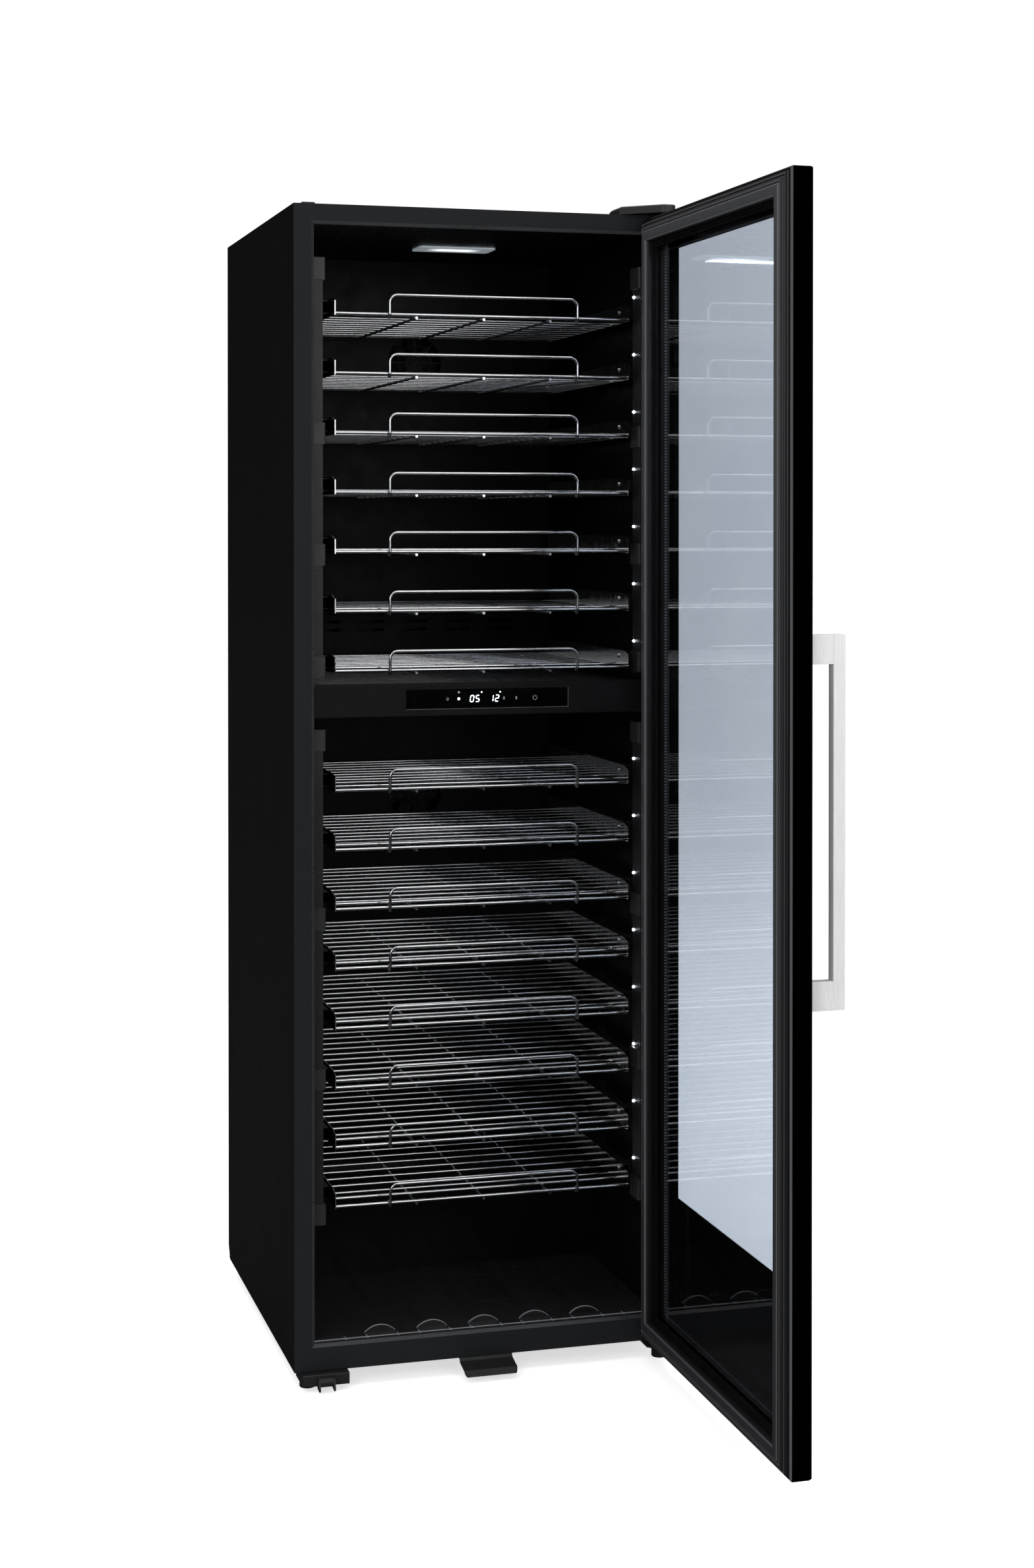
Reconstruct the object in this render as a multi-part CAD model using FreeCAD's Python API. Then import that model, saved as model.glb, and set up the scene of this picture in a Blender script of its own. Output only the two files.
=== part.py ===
"""Free-standing two-zone wine cooler, door standing open at 90 degrees.

Drawn in millimetres about the middle of the cabinet on the floor, with
+X to the right (hinge side), -Y to the front and +Z up. Every piece is
saved with the origin moved to the underside of the left front foot.
"""
import FreeCAD, Part
import math
import os

os.makedirs("parts", exist_ok=True)
V = FreeCAD.Vector

# ---- driving dimensions -------------------------------------------------
WIDTH = 595.0            # outside of the side panels
DEPTH = 610.0            # front face to rear edge of the side panels
HEIGHT = 1760.0          # floor to top panel
FOOT_H = 27.0            # floor to underside of the cabinet
FOOT_INSET = 23.0        # side panel to foot axis
FOOT_SETBACK = 19.0      # front face to left foot axis
HINGE_FOOT_SETBACK = 4.0 # front face to right foot axis, in the hinge bracket
SHEET = 1.0              # painted steel sheet
STILE_W = 26.5           # flat front face, each side
TOP_RAIL_H = 25.0
BOTTOM_RAIL_H = 35.0
TRIM_W = 4.5             # bevelled trim inside the flat front face
TRIM_D = 6.0
LINER_T = 1.5
INNER_D = 520.0          # front face to liner back
DUCT_D = 478.0           # front face to air duct cover
FOAM_BACK_D = 571.0
HUMP_D = 332.0           # front face to the step over the compressor
HUMP_TOP = 236.5

DOOR_GAP = 12.0          # front face to the closed leaf, filled by the gasket
DOOR_T = 31.0
DOOR_BOTTOM = 32.0
DOOR_H = 1720.0
GLASS_T = 3.0
DOOR_FRAME_W = 46.0
PIN_X = 269.0            # hinge axis
PIN_OFF = 36.0           # hinge axis in front of the front face
PIN_R = 3.0
DOOR_OPEN_DEG = 90.0     # door angle in the modelled pose

SHELF_PITCH = 89.2
SHELF_TOP_Z = 1601.0     # front wire of the highest shelf
UPPER_SHELVES = 7
LOWER_SHELVES = 8
RACK_HALF = 230.0        # inner face of the rack side plates
PLATE_T = 1.5
RACK_FRONT_D = 25.0
RACK_BACK_D = 455.0
SHELF_TRAVEL = 280.0
LED_RISE_LEFT, LED_RISE_RIGHT, LED_RISE_LOWER = 44.0, 38.0, 33.0     # above the front wires

DIVIDER_Z0 = 997.4
DIVIDER_Z1 = 1045.4

# ---- derived places -----------------------------------------------------
HALF = WIDTH / 2
FRONT = -DEPTH / 2
BACK = DEPTH / 2
foot_x = HALF - FOOT_INSET
foot_y = FRONT + FOOT_SETBACK
hinge_foot_y = FRONT + HINGE_FOOT_SETBACK
OPEN_X = HALF - STILE_W - TRIM_W          # half width of the throat
CEILING = HEIGHT - TOP_RAIL_H - 5.0
FLOOR = FOOT_H + BOTTOM_RAIL_H + 3.0
PIN_Y = FRONT - PIN_OFF
SIDES = (-1, 1)


def depth(d):
    """Y of a place d behind the front face."""
    return FRONT + d


def box(x0, x1, y0, y1, z0, z1):
    return Part.makeBox(x1 - x0, y1 - y0, z1 - z0, V(x0, y0, z0))


def sided_box(side, x0, x1, y0, y1, z0, z1):
    """Box between distances x0 and x1 from the middle, on one side."""
    a, b = sorted((side * x0, side * x1))
    return box(a, b, y0, y1, z0, z1)


def cyl(radius, length, base, axis):
    return Part.makeCylinder(radius, length, V(*base), V(*axis))


def polygon(points):
    return Part.Face(Part.makePolygon([V(*p) for p in points] + [V(*points[0])]))


def prism_z(points, z0, z1):
    return polygon([(x, y, z0) for x, y in points]).extrude(V(0, 0, z1 - z0))


def prism_x(points, x0, x1):
    return polygon([(x0, y, z) for y, z in points]).extrude(V(x1 - x0, 0, 0))


def prism_y(points, y0, y1):
    return polygon([(x, y0, z) for x, z in points]).extrude(V(0, y1 - y0, 0))


def fuse(shapes):
    result = shapes[0].multiFuse(shapes[1:]) if len(shapes) > 1 else shapes[0]
    return result.removeSplitter()


def mirror_x(shape):
    return shape.mirror(V(0, 0, 0), V(1, 0, 0))


def rounded(shape, radius, test):
    """Fillet the edges for which test(edge) is true."""
    edges = [e for e in shape.Edges if test(e)]
    return shape.makeFillet(radius, edges)


def is_along(edge, axis):
    if not isinstance(edge.Curve, Part.Line):
        return False
    return abs(abs(edge.Curve.Direction.dot(V(*axis))) - 1.0) < 1e-6


def save(name, *shapes):
    solids = []
    for shape in shapes:
        solids.extend(shape.Solids)
    for solid in solids:
        if not solid.isValid():
            print("not valid:", name)
    result = solids[0] if len(solids) == 1 else Part.makeCompound(solids)
    result = result.translated(V(foot_x, -foot_y, 0))
    result.exportStep("parts/%s.step" % name)
    print(name, len(solids), "solids", round(sum(s.Volume for s in solids) / 1000.0, 1), "cm3")


def swing(shape):
    """Turn a piece of the closed door to the open pose."""
    return shape.rotated(V(PIN_X, PIN_Y, 0), V(0, 0, 1), DOOR_OPEN_DEG)


def ring_bars(profile, x0, x1, z0, z1):
    """Four mitred bars around a rectangle; profile is (distance inwards, y)."""
    reach = max(u for u, y in profile) + 1.0
    y_values = [y for u, y in profile]
    y0, y1 = min(y_values) - 1.0, max(y_values) + 1.0
    bottom = prism_x([(y, z0 + u) for u, y in profile], x0, x1)
    top = prism_x([(y, z1 - u) for u, y in profile], x0, x1)
    left = prism_z([(x0 + u, y) for u, y in profile], z0, z1)
    right = prism_z([(x1 - u, y) for u, y in profile], z0, z1)
    wedge_bottom = [(x0, z0), (x1, z0), (x1 - reach, z0 + reach), (x0 + reach, z0 + reach)]
    wedge_top = [(x0, z1), (x1, z1), (x1 - reach, z1 - reach), (x0 + reach, z1 - reach)]
    wedge_left = [(x0, z0), (x0 + reach, z0 + reach), (x0 + reach, z1 - reach), (x0, z1)]
    wedge_right = [(x1, z0), (x1 - reach, z0 + reach), (x1 - reach, z1 - reach), (x1, z1)]
    pairs = ((bottom, wedge_bottom), (top, wedge_top), (left, wedge_left), (right, wedge_right))
    return [bar.common(prism_y(wedge, y0, y1)) for bar, wedge in pairs]


def bent_wire(edges, radius):
    """Round wire swept along a tangent-continuous chain of edges."""
    path = Part.Wire(edges)
    start = path.Edges[0]
    point = start.valueAt(start.FirstParameter)
    tangent = start.tangentAt(start.FirstParameter)
    section = Part.Wire([Part.makeCircle(radius, point, tangent)])
    return path.makePipeShell([section], True, True)


# ---- outer cabinet --------------------------------------------------------
MITRE_GAP = 0.15


def front_flange(points):
    return prism_y(points, FRONT, FRONT + SHEET)


def side_panel():
    """Left side panel: flat sheet, front face strip, rear return flange."""
    corner_cut = [(BACK - 14, FOOT_H), (BACK, FOOT_H), (BACK, FOOT_H + 22)]
    sheet = box(-HALF, -HALF + SHEET, FRONT, BACK, FOOT_H, HEIGHT)
    sheet = sheet.cut(prism_x(corner_cut, -HALF - 1, -HALF + SHEET + 1))
    face = front_flange([
        (-HALF, FOOT_H + MITRE_GAP), (-HALF + STILE_W, FOOT_H + BOTTOM_RAIL_H + MITRE_GAP),
        (-HALF + STILE_W, HEIGHT - TOP_RAIL_H - MITRE_GAP), (-HALF, HEIGHT - MITRE_GAP)])
    rear = box(-HALF, -HALF + 14, BACK - SHEET, BACK, FOOT_H + 24, HEIGHT)
    panel = fuse([sheet, face, rear])

    def outer_front_edge(edge):
        middle = edge.CenterOfMass
        return (is_along(edge, (0, 0, 1)) and abs(middle.x + HALF) < 0.01
                and abs(middle.y - FRONT) < 0.01 and edge.Length > 1000)
    return rounded(panel, 0.9, outer_front_edge)


def top_panel():
    sheet = box(-HALF + SHEET, HALF - SHEET, FRONT + SHEET, BACK - SHEET, HEIGHT - SHEET, HEIGHT)
    face = front_flange([
        (-HALF + SHEET, HEIGHT - SHEET), (-HALF + STILE_W, HEIGHT - TOP_RAIL_H),
        (HALF - STILE_W, HEIGHT - TOP_RAIL_H), (HALF - SHEET, HEIGHT - SHEET)])
    upper_edge = box(-HALF + SHEET, HALF - SHEET, FRONT, FRONT + SHEET, HEIGHT - SHEET, HEIGHT)
    return fuse([sheet, face, upper_edge])


def bottom_rail():
    face = front_flange([
        (-HALF + SHEET, FOOT_H + SHEET), (-HALF + STILE_W, FOOT_H + BOTTOM_RAIL_H),
        (HALF - STILE_W, FOOT_H + BOTTOM_RAIL_H), (HALF - SHEET, FOOT_H + SHEET)])
    lower_edge = box(-HALF + SHEET, HALF - SHEET, FRONT, FRONT + 12, FOOT_H, FOOT_H + SHEET)
    return fuse([face, lower_edge])


def throat_trim():
    """Bevelled plastic trim between the steel face and the liner."""
    profile = [(0, FRONT + SHEET), (0, FRONT), (TRIM_W, FRONT + 4), (TRIM_W, FRONT + TRIM_D),
               (0, FRONT + TRIM_D)]
    x0 = -HALF + STILE_W
    sides = ring_bars(profile, x0, -x0, FOOT_H + BOTTOM_RAIL_H, HEIGHT - TOP_RAIL_H)
    return sides


left_panel = side_panel()
save("left_side_panel", left_panel)
save("right_side_panel", mirror_x(left_panel))
save("top_panel", top_panel())
save("front_bottom_rail", bottom_rail())
save("throat_trim", *throat_trim())

STEM_R = 4.0
STEM_CLEAR = 0.05


def base_plate():
    plate = box(-HALF + SHEET, HALF - SHEET, FRONT + 12, BACK - SHEET, FOOT_H, FOOT_H + SHEET)
    return plate


save("base_plate", base_plate())
save("back_panel", box(-HALF + SHEET, HALF - SHEET, depth(FOAM_BACK_D), depth(FOAM_BACK_D) + SHEET,
                       205.0, HEIGHT - SHEET))

# ---- insulation and liner ---------------------------------------------------
LINER_X = OPEN_X + LINER_T
foam_y0 = FRONT + TRIM_D
foam_y1 = depth(FOAM_BACK_D)
foam_z0 = FOOT_H + SHEET
foam_z1 = HEIGHT - SHEET
liner_back = depth(INNER_D) + LINER_T
hump_front = depth(HUMP_D)
HUMP_FOAM = 29.5
hump_low = 205.0
hump_rear = hump_front + LINER_T + HUMP_FOAM

DIVIDER_WALL = 2.5
WALL_CLEAR = 0.5


def divider_core(past_end):
    """Foam inside the zone divider, or the hollow that holds it."""
    x = OPEN_X - WALL_CLEAR - DIVIDER_WALL
    return box(-x, x, depth(20.0), depth(INNER_D) + past_end,
               DIVIDER_Z0 + DIVIDER_WALL, DIVIDER_Z1 - DIVIDER_WALL)


foam = [sided_box(side, LINER_X, HALF - SHEET, foam_y0, foam_y1, foam_z0, foam_z1) for side in SIDES]
foam.append(box(-LINER_X, LINER_X, foam_y0, foam_y1, CEILING + LINER_T, foam_z1))
foam.append(box(-LINER_X, LINER_X, liner_back, foam_y1, HUMP_TOP - LINER_T, CEILING + LINER_T))
foam.append(box(-LINER_X, LINER_X, foam_y0, hump_rear, foam_z0, FLOOR - LINER_T))
foam.append(box(-LINER_X, LINER_X, hump_front + LINER_T, hump_rear, FLOOR - LINER_T, hump_low))
foam.append(box(-LINER_X, LINER_X, hump_front + LINER_T, foam_y1, hump_low, HUMP_TOP - LINER_T))
foam.append(divider_core(0.0))
save("insulation_foam", *foam)


def liner():
    def section(grow):
        y0 = foam_y0 - (1.0 if grow == 0 else 0.0)
        return [(y0, FLOOR - grow), (hump_front + grow, FLOOR - grow),
                (hump_front + grow, HUMP_TOP - grow), (depth(INNER_D) + grow, HUMP_TOP - grow),
                (depth(INNER_D) + grow, CEILING + grow), (y0, CEILING + grow)]
    outer = prism_x(section(LINER_T), -LINER_X, LINER_X)
    inner = prism_x(section(0.0), -OPEN_X, OPEN_X)
    return outer.cut(inner)


save("inner_liner", liner())

# ---- zone divider with the control panel ---------------------------------------
WINDOW_W = 254.5
WINDOW_H = 30.0
window_z = (DIVIDER_Z0 + DIVIDER_Z1) / 2 + 1.0
fascia_y0, fascia_y1 = depth(3.0), depth(7.0)


def zone_divider():
    x = OPEN_X - WALL_CLEAR
    slab = box(-x, x, fascia_y1, depth(INNER_D), DIVIDER_Z0, DIVIDER_Z1)
    pocket = box(-WINDOW_W / 2 + 3, WINDOW_W / 2 - 3, fascia_y1 - 1, fascia_y1 + 9,
                 window_z - WINDOW_H / 2 + 2, window_z + WINDOW_H / 2 - 2)
    return slab.cut(pocket).cut(divider_core(1.0))


def control_fascia():
    x = OPEN_X - WALL_CLEAR
    plate = box(-x, x, fascia_y0, fascia_y1, DIVIDER_Z0, DIVIDER_Z1)
    plate = rounded(plate, 1.2, lambda e: is_along(e, (1, 0, 0)) and e.CenterOfMass.y < fascia_y0 + 0.1)
    hole = box(-WINDOW_W / 2, WINDOW_W / 2, fascia_y0 - 1, fascia_y1 + 1,
               window_z - WINDOW_H / 2, window_z + WINDOW_H / 2)
    lip = box(-x + 1.5, x - 1.5, fascia_y0 + 1.8, fascia_y0 + 3.2, DIVIDER_Z1 - 0.5, DIVIDER_Z1 + 1.8)
    return plate.cut(hole).fuse(lip).removeSplitter()


save("zone_divider", zone_divider())
save("control_fascia", control_fascia())
save("control_window", box(-WINDOW_W / 2, WINDOW_W / 2, fascia_y0 + 0.5, fascia_y1 - 0.8,
                           window_z - WINDOW_H / 2, window_z + WINDOW_H / 2))
save("control_board", box(-118, 118, fascia_y1 + 2.0, fascia_y1 + 3.6, window_z - 11, window_z + 11),
     *[box(x - 3, x + 3, fascia_y1 - 0.8, fascia_y1 + 2.0, window_z - 3, window_z + 3)
       for x in (-100, 0, 100)])

# ---- lamps and light columns --------------------------------------------------
LAMP_W, LAMP_D, LAMP_T = 125.0, 62.0, 2.5
lamp_x, lamp_y = 14.0, depth(265.0)


def lamp(z_top):
    plate = box(lamp_x - LAMP_W / 2, lamp_x + LAMP_W / 2, lamp_y - LAMP_D / 2, lamp_y + LAMP_D / 2,
                z_top - LAMP_T, z_top)
    plate = rounded(plate, 6.0, lambda e: is_along(e, (0, 0, 1)))
    for side in SIDES:
        screw_x = lamp_x + side * (LAMP_W / 2 - 10)
        plate = plate.cut(cyl(2.0, LAMP_T + 2, (screw_x, lamp_y, z_top - LAMP_T - 1), (0, 0, 1)))
    return plate


save("ceiling_lamps", lamp(CEILING), lamp(DIVIDER_Z0))

COLUMN_T = 17.0           # how far a column stands out of the wall
COLUMN_D0, COLUMN_D1 = 22.0, 60.0
CLIP_T = 21.0
CLIP_D0, CLIP_D1 = 20.0, 61.5
LED_D = 54.0
LED_R = 1.9
upper_clips = ((1057.0, 1088.0), (1224.0, 1256.0), (1405.0, 1437.0), (1650.0, 1683.0))
lower_clips = ((238.0, 269.0), (441.0, 471.0), (679.0, 712.0), (947.0, 979.0))
CLIP_CAP = 2.0


def column(side, clips):
    z0, z1 = clips[0][0] + CLIP_CAP, clips[-1][1] - CLIP_CAP
    body = sided_box(side, OPEN_X - COLUMN_T, OPEN_X, depth(COLUMN_D0), depth(COLUMN_D1), z0, z1)
    groove = sided_box(side, OPEN_X - COLUMN_T - 1, OPEN_X - COLUMN_T + 1.2,
                       depth(LED_D - 3.2), depth(LED_D + 3.2), z0 - 1, z1 + 1)
    return body.cut(groove)


def clip(side, z0, z1, cap_low, cap_high):
    body = sided_box(side, OPEN_X - CLIP_T, OPEN_X, depth(CLIP_D0), depth(CLIP_D1), z0, z1)
    body = rounded(body, 2.5, lambda e: is_along(e, (0, 0, 1))
                   and abs(abs(e.CenterOfMass.x) - (OPEN_X - CLIP_T)) < 0.01)
    slot_z0 = z0 + (CLIP_CAP if cap_low else -1.0)
    slot_z1 = z1 - (CLIP_CAP if cap_high else -1.0)
    slot = sided_box(side, OPEN_X - COLUMN_T, OPEN_X + 1,
                     depth(COLUMN_D0), depth(COLUMN_D1), slot_z0, slot_z1)
    return body.cut(slot)


columns, clips = [], []
for side in SIDES:
    for group in (upper_clips, lower_clips):
        columns.append(column(side, group))
        for number, (z0, z1) in enumerate(group):
            clips.append(clip(side, z0, z1, number == 0, number == len(group) - 1))
save("light_columns", *columns)
save("column_clips", *clips)


def shelf_z(number):
    """Height of the front wire of shelf 1 (top) to 15; one pitch is skipped at the divider."""
    skipped = 0 if number <= UPPER_SHELVES else 1
    return SHELF_TOP_Z - SHELF_PITCH * (number - 1 + skipped)


shelf_numbers = range(1, UPPER_SHELVES + LOWER_SHELVES + 1)


def led(side, z):
    base_x = side * (OPEN_X - COLUMN_T + 1.2)
    stem = cyl(LED_R, 1.4, (base_x, depth(LED_D), z), (-side, 0, 0))
    dome = Part.makeSphere(LED_R, V(base_x - side * 1.4, depth(LED_D), z))
    outer = sided_box(side, 0, OPEN_X - COLUMN_T - 0.2, FRONT, BACK, z - 10, z + 10)
    return stem.fuse(dome.common(outer)).removeSplitter()


def led_rise(side, number):
    if number > UPPER_SHELVES:
        return LED_RISE_LOWER
    return LED_RISE_LEFT if side < 0 else LED_RISE_RIGHT


save("led_lenses", *[led(side, shelf_z(n) + led_rise(side, n)) for side in SIDES for n in shelf_numbers])

# ---- fixed slide rails ------------------------------------------------------------
RAIL_D0, RAIL_D1 = 62.0, 458.0
RUNNER_X0, RUNNER_X1 = RACK_HALF + PLATE_T, 244.5
RUNNER_LOW, RUNNER_HIGH = 4.0, 20.0      # above the front wire
WEB_X0, WEB_X1 = 245.0, 246.5
RAIL_T = 1.2
RAIL_CLEAR = 0.4


def shelf_rail(side, z):
    """Channel of three strips on three spacers."""
    low, high = z + RUNNER_LOW - RAIL_CLEAR, z + RUNNER_HIGH + RAIL_CLEAR
    y0, y1 = depth(RAIL_D0), depth(RAIL_D1)
    lip_x = RUNNER_X0 + 2.0
    strips = [sided_box(side, WEB_X0, WEB_X1, y0, y1, low - RAIL_T, high + RAIL_T),
              sided_box(side, lip_x, WEB_X0, y0, y1, low - RAIL_T, low),
              sided_box(side, lip_x, WEB_X0, y0, y1, high, high + RAIL_T)]
    middle = (low + high) / 2
    spacers = [sided_box(side, WEB_X1, OPEN_X, depth(d) - 9, depth(d) + 9, middle - 8, middle + 8)
               for d in (90.0, 260.0, 430.0)]
    return strips + spacers


rails = []
for side in SIDES:
    for n in shelf_numbers:
        rails.extend(shelf_rail(side, shelf_z(n)))
save("shelf_rails", *rails)

# ---- wire shelves ----------------------------------------------------------------
WIRE_R = 2.5
ROD_R = 2.0
FENCE_R = 2.2
FENCE_HALF = 149.5
FENCE_RISE = 29.0
FENCE_BEND = 12.0
HOOK_R = 5.0
ROD_PITCH = 40.0
WELD_GAP = 0.1
RUNNER_D0 = RAIL_D0 + SHELF_TRAVEL + 3.0


def arc(start, middle, end):
    return Part.Arc(V(*start), V(*middle), V(*end)).toShape()


def line(start, end):
    return Part.LineSegment(V(*start), V(*end)).toShape()


def fence(z):
    """Raised front wire in three runs; its legs pass in front of the front wire and hook under it."""
    y = depth(RACK_FRONT_D) - HOOK_R
    yc = depth(RACK_FRONT_D)
    x = FENCE_HALF - FENCE_R
    top = z + FENCE_RISE
    b = FENCE_BEND
    k = b * (1 - math.sqrt(0.5))
    leg = bent_wire([
        line((-x, yc + HOOK_R, z + 3), (-x, yc + HOOK_R, z)),
        arc((-x, yc + HOOK_R, z), (-x, yc, z - HOOK_R), (-x, y, z)),
        line((-x, y, z), (-x, y, top - b)),
        arc((-x, y, top - b), (-x + k, y, top - k), (-x + b, y, top)),
    ], FENCE_R)
    bar = cyl(FENCE_R, 2 * (x - b), (-x + b, y, top), (1, 0, 0))
    return [leg, bar, mirror_x(leg)]


def side_plate(side, z):
    outline = [(depth(RACK_FRONT_D - 3), z - 3), (depth(RACK_FRONT_D - 3), z + 19),
               (depth(RACK_FRONT_D + 20), z + 24), (depth(RACK_BACK_D), z + 24), (depth(RACK_BACK_D), z - 3)]
    return prism_x(outline, *sorted((side * RACK_HALF, side * (RACK_HALF + PLATE_T))))


def shelf(number):
    z = shelf_z(number)
    span = 2 * RACK_HALF
    solids = [cyl(WIRE_R, span, (-RACK_HALF, depth(RACK_FRONT_D), z), (1, 0, 0)),
              cyl(WIRE_R, span, (-RACK_HALF, depth(60.0), z + 2.5), (1, 0, 0)),
              cyl(WIRE_R, span, (-RACK_HALF, depth(RACK_BACK_D - 3), z), (1, 0, 0))]
    rows = int((RACK_BACK_D - 100.0) / ROD_PITCH) + 1
    rod_z = z - WIRE_R + ROD_R
    solids += fence(z)
    solids += [cyl(ROD_R, span, (-RACK_HALF, depth(100.0 + i * ROD_PITCH), rod_z), (1, 0, 0))
               for i in range(rows)]
    under = z - WIRE_R - ROD_R - WELD_GAP
    solids += [cyl(ROD_R, RACK_BACK_D - RACK_FRONT_D - 3, (x, depth(RACK_FRONT_D), under), (0, 1, 0))
               for x in (-105.0, 0.0, 105.0)]
    for side in SIDES:
        solids.append(side_plate(side, z))
        solids.append(sided_box(side, RUNNER_X0, RUNNER_X1, depth(RUNNER_D0), depth(RACK_BACK_D),
                                z + RUNNER_LOW, z + RUNNER_HIGH))
        stud = (side * (RACK_HALF - 2.0), depth(RACK_FRONT_D + 46), z + 15)
        solids.append(cyl(3.5, 2.0, stud, (side, 0, 0)))
    return solids


for n in shelf_numbers:
    save("shelf_%02d" % n, *shelf(n))

# ---- bottom tray -----------------------------------------------------------------
TRAY_T = 3.0
STOP_W, STOP_H, STOP_T = 49.0, 11.0, 2.5
STOP_PITCH = 80.6
STOP_PLACES = (-2, -1, 0, 1, 2)


def bottle_stop(x):
    rise = STOP_H
    chord = STOP_W / 2
    y = depth(30.0)
    z = FLOOR + TRAY_T
    edge = [Part.Arc(V(x - chord, y, z), V(x, y, z + rise), V(x + chord, y, z)).toShape(),
            line((x + chord, y, z), (x + chord, y, z - 1)),
            line((x + chord, y, z - 1), (x - chord, y, z - 1)),
            line((x - chord, y, z - 1), (x - chord, y, z))]
    return Part.Face(Part.Wire(edge)).extrude(V(0, STOP_T, 0))


def bottle_tray():
    x = OPEN_X - WALL_CLEAR
    plate = box(-x, x, FRONT + TRIM_D, hump_front - WALL_CLEAR, FLOOR, FLOOR + TRAY_T)
    lip = box(-x, x, FRONT + TRIM_D, FRONT + TRIM_D + 3, FLOOR, FLOOR + TRAY_T + 2)
    step = box(-x, x, FRONT + TRIM_D, FRONT + TRIM_D + 14, FLOOR, FLOOR + TRAY_T + 0.8)
    cradle_r = 80.0
    for i in STOP_PLACES:
        start = (i * STOP_PITCH, depth(40), FLOOR + TRAY_T + cradle_r - 1.6)
        plate = plate.cut(cyl(cradle_r, 400.0, start, (0, 1, 0)))
    return fuse([plate, lip, step] + [bottle_stop(i * STOP_PITCH) for i in STOP_PLACES])


save("bottle_tray", bottle_tray())

# ---- air ducts, evaporators and fans ------------------------------------------------
DUCT_T = 2.0
DUCT_HALF = 238.0
duct_y = depth(DUCT_D)
FAN_R = 42.0
FAN_BORE = 2.05
zones = (("upper", DIVIDER_Z1, CEILING, 1560.0), ("lower", HUMP_TOP, DIVIDER_Z0, 830.0))


def duct_cover(z0, z1, fan_z):
    front = box(-DUCT_HALF, DUCT_HALF, duct_y, duct_y + DUCT_T, z0, z1)
    opening = cyl(FAN_R + 4, DUCT_T + 2, (0, duct_y - 1, fan_z), (0, 1, 0))
    parts = [front.cut(opening)]
    for side in SIDES:
        parts.append(sided_box(side, DUCT_HALF - DUCT_T, DUCT_HALF, duct_y, depth(INNER_D), z0, z1))
    for radius in (15.0, 30.0):
        ring = cyl(radius, DUCT_T, (0, duct_y, fan_z), (0, 1, 0))
        parts.append(ring.cut(cyl(radius - 2.5, DUCT_T + 2, (0, duct_y - 1, fan_z), (0, 1, 0))))
    for i in range(4):
        bar = box(-FAN_R - 5, FAN_R + 5, duct_y, duct_y + DUCT_T, fan_z - 1.5, fan_z + 1.5)
        parts.append(bar.rotated(V(0, 0, fan_z), V(0, 1, 0), 45.0 * i))
    cover = fuse(parts)
    slots = [box(x - 22, x + 22, duct_y - 1, duct_y + DUCT_T + 1, z0 + 60 + row * 14, z0 + 65 + row * 14)
             for x in (-150, -75, 0, 75, 150) for row in range(4)]
    return cover.cut(Part.makeCompound(slots))


def evaporator(z0):
    block = box(-190, 190, duct_y + 5, duct_y + 33, z0, z0 + 110)
    gaps = [box(-187 + i * 19.0, -187 + i * 19.0 + 12.0, duct_y + 4, duct_y + 28, z0 - 1, z0 + 111)
            for i in range(20)]
    back_bar = box(-190, 190, duct_y + 33, depth(INNER_D), z0 + 50, z0 + 60)
    return fuse([block.cut(Part.makeCompound(gaps)), back_bar])


def fan_motor(fan_z):
    body = cyl(17.0, 15.0, (0, depth(INNER_D) - 15, fan_z), (0, 1, 0))
    shaft = cyl(2.0, 14.0, (0, depth(INNER_D) - 29, fan_z), (0, 1, 0))
    return body.fuse(shaft).removeSplitter()


def fan_rotor(fan_z):
    hub_y = depth(INNER_D) - 29
    hub = cyl(14.0, 12.0, (0, hub_y, fan_z), (0, 1, 0))
    blades = []
    for i in range(7):
        blade = box(-9, 9, hub_y + 5, hub_y + 6.5, fan_z + 12, fan_z + FAN_R)
        blade = blade.rotated(V(0, hub_y + 6, fan_z), V(0, 0, 1), 28.0)
        blades.append(blade.rotated(V(0, 0, fan_z), V(0, 1, 0), 360.0 / 7 * i))
    bore = cyl(FAN_BORE, 14.0, (0, hub_y - 1, fan_z), (0, 1, 0))
    return fuse([hub] + blades).cut(bore)


save("air_duct_covers", *[duct_cover(z0, z1, fan_z) for name, z0, z1, fan_z in zones])
save("evaporators", *[evaporator(fan_z - 260) for name, z0, z1, fan_z in zones])
save("fan_motors", *[fan_motor(fan_z) for name, z0, z1, fan_z in zones])
for name, z0, z1, fan_z in zones:
    save(name + "_fan", fan_rotor(fan_z))

# ---- compressor bay --------------------------------------------------------------
COMP_X, COMP_Y = 110.0, 175.0


def compressor():
    base = FOOT_H + SHEET
    profile = [V(0, 0, 38), V(58, 0, 38), V(66, 0, 48), V(66, 0, 120),
               V(52, 0, 142), V(24, 0, 152), V(0, 0, 154)]
    face = Part.Face(Part.makePolygon(profile + [profile[0]]))
    shell = face.revolve(V(0, 0, 0), V(0, 0, 1), 360)
    shell.translate(V(COMP_X, COMP_Y, 0))
    feet = box(COMP_X - 90, COMP_X + 90, COMP_Y - 50, COMP_Y + 50, 36, 39)
    grommets = [cyl(8.0, 36 - base, (COMP_X + sx * 80, COMP_Y + sy * 40, base), (0, 0, 1))
                for sx in SIDES for sy in SIDES]
    return fuse([shell, feet] + grommets)


def drip_tray():
    outer = box(COMP_X - 80, COMP_X + 80, COMP_Y - 55, COMP_Y + 55, 154, 184)
    inner = box(COMP_X - 77, COMP_X + 77, COMP_Y - 52, COMP_Y + 52, 157, 185)
    return outer.cut(inner)


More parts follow.
